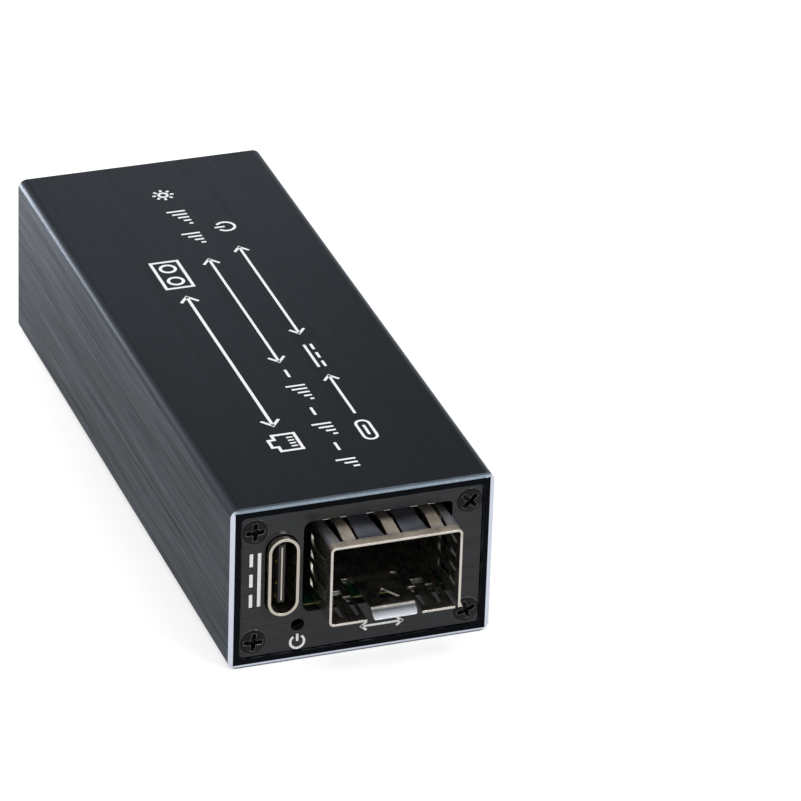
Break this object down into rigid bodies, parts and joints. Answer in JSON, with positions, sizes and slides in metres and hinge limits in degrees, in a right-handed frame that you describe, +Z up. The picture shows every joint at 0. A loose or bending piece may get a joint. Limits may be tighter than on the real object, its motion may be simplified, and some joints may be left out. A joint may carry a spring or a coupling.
{
  "type": "fibre media converter",
  "caption": "Pocket fibre media converter: a black extruded case with an SFP cage and a USB-C power socket at one end and an RJ45 jack at the other.",
  "frame": {"origin": "middle of the flat underside of the case tube", "axes": "+Z up, +Y along the case from the SFP end towards the RJ45 end, +X to the right as seen from the SFP end"},
  "size_m": [0.028, 0.0801, 0.0186],
  "materials": {
    "black_anodised": "brushed satin black anodised, bare bright bevels at both ends",
    "black_panel": "brushed black anodised",
    "black_screw": "black oxide, slightly glossy",
    "green_laminate": "green solder mask with white print",
    "nickel_sheet": "warm satin nickel plate",
    "tinned_sheet": "bright tin plate",
    "steel_shell": "polished nickel plate",
    "black_moulding": "black glass-filled plastic",
    "gilt_contact": "flash gold plate",
    "tinned_lead": "matt tin",
    "chip_epoxy": "moulded black epoxy",
    "ferrite": "pressed grey-black powder",
    "capacitor_sleeve": "shrunk black sleeve",
    "ceramic_chip": "tan ceramic with tinned ends",
    "light_lens": "milky lens"
  },
  "bodies": {
    "root": {"case_tube": "black_anodised", "front_panel": "black_panel", "rear_panel": "black_panel", "front_panel_screws": "black_screw", "rear_panel_screws": "black_screw", "circuit_board": "green_laminate", "sfp_cage": "nickel_sheet", "sfp_host_connector": "black_moulding", "sfp_host_contacts": "gilt_contact", "usb_c_shell": "steel_shell", "usb_c_insulator": "black_moulding", "usb_c_contacts": "gilt_contact", "usb_c_mid_plate": "steel_shell", "rj45_shield": "tinned_sheet", "rj45_housing": "black_moulding", "rj45_contacts": "gilt_contact", "pulse_transformer": "chip_epoxy", "pulse_transformer_leads": "tinned_lead", "converter_chip": "chip_epoxy", "converter_chip_leads": "tinned_lead", "settings_memory": "chip_epoxy", "settings_memory_leads": "tinned_lead", "clock_crystal": "nickel_sheet", "voltage_regulator": "chip_epoxy", "voltage_regulator_leads": "tinned_lead", "power_inductor": "ferrite", "rectifier_diodes": "chip_epoxy", "diode_terminals": "tinned_lead", "bulk_capacitor": "capacitor_sleeve", "bulk_capacitor_leads": "tinned_lead", "ceramic_capacitors": "ceramic_chip", "chip_resistors": "chip_epoxy", "power_light": "light_lens"}
  },
  "joints": []
}
